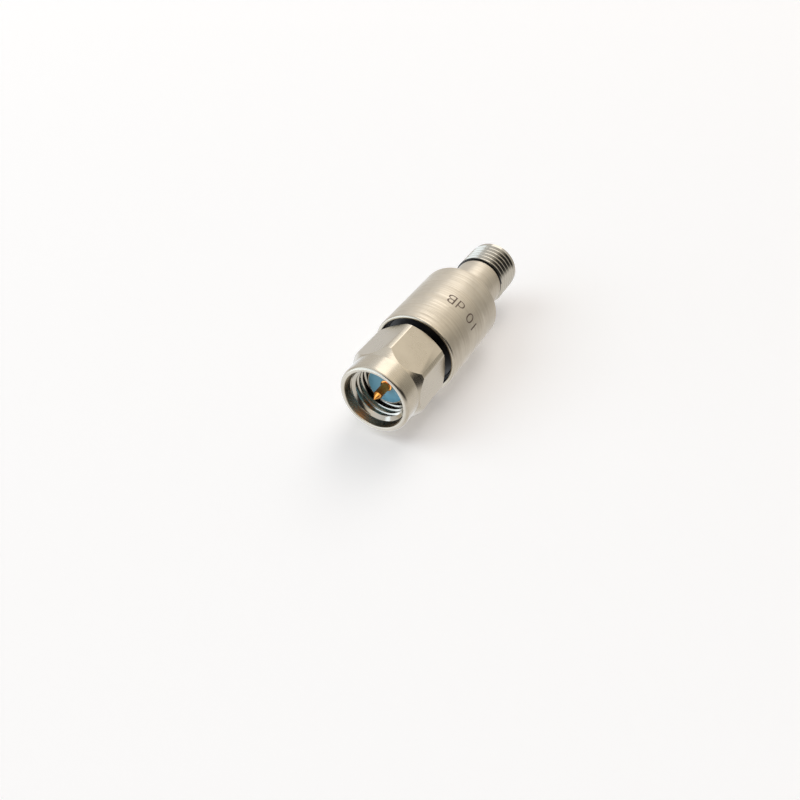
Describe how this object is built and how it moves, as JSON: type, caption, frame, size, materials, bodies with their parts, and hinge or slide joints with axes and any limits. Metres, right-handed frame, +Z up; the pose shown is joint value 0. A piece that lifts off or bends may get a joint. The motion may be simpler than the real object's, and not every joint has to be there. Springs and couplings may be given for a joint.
{
  "type": "rf attenuator",
  "caption": "Inline coaxial attenuator: round brushed sleeve with a hexagon coupling nut on a pin plug at one end and an externally threaded socket jack at the other.",
  "frame": {"origin": "on the axis, at the jack's end face, which the part stands on", "axes": "+Z up along the axis from the jack to the plug, +X and +Y across; a corner of the nut points to -Y"},
  "size_m": [0.0096, 0.0096, 0.03],
  "materials": {
    "stainless": "passivated, finely turned and brushed",
    "gold": "gold plated, polished",
    "dielectric": "smooth light blue fluoropolymer",
    "bronze": "spring bronze",
    "brass": "machined brass",
    "ceramic": "white alumina"
  },
  "bodies": {
    "attenuator": {"body_sleeve": "stainless", "plug_shell": "stainless", "plug_bead": "dielectric", "plug_pin": "gold", "carrier_rear": "brass", "carrier_front": "brass", "attenuator_chip": "ceramic", "jack_shell": "stainless", "jack_bead": "dielectric", "jack_contact": "gold"},
    "nut": {"coupling_nut": "stainless", "snap_ring": "bronze"}
  },
  "joints": [
    {"name": "nut_spin", "type": "hinge", "parent": "attenuator", "child": "nut", "pos_m": [0, 0, 0.0259], "axis": [0, 0, 1], "continuous": true}
  ]
}
